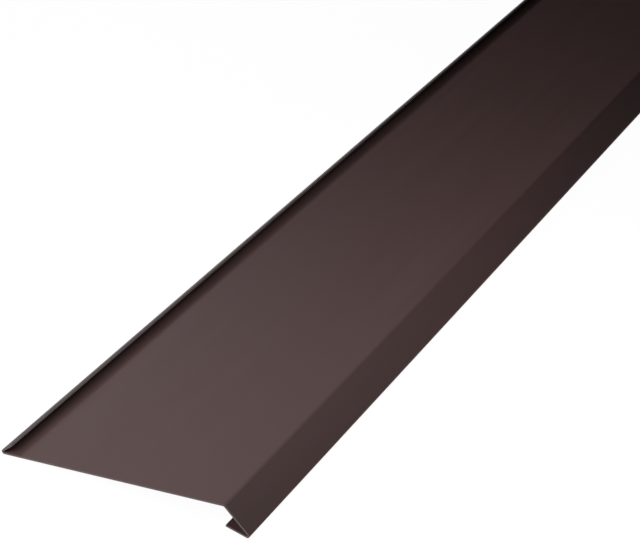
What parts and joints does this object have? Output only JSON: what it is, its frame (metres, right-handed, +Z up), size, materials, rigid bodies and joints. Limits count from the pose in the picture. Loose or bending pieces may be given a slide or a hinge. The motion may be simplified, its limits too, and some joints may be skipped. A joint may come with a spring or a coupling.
{
  "type": "drip edge",
  "caption": "Long folded sheet-metal drip edge: wide deck with an open hem at the back, a sloping front face and a sharp drip nose with a return lip.",
  "frame": {"origin": "middle of the strip's bounding box, on the floor that it lies on", "axes": "+Y along the strip, +X across it from the hem to the drip nose, +Z up"},
  "size_m": [0.1644, 2, 0.0173],
  "materials": {
    "brown_coating": "semi-matte coil coating, chocolate brown on both sides"
  },
  "bodies": {
    "root": {"drip_edge": "brown_coating"}
  },
  "joints": []
}
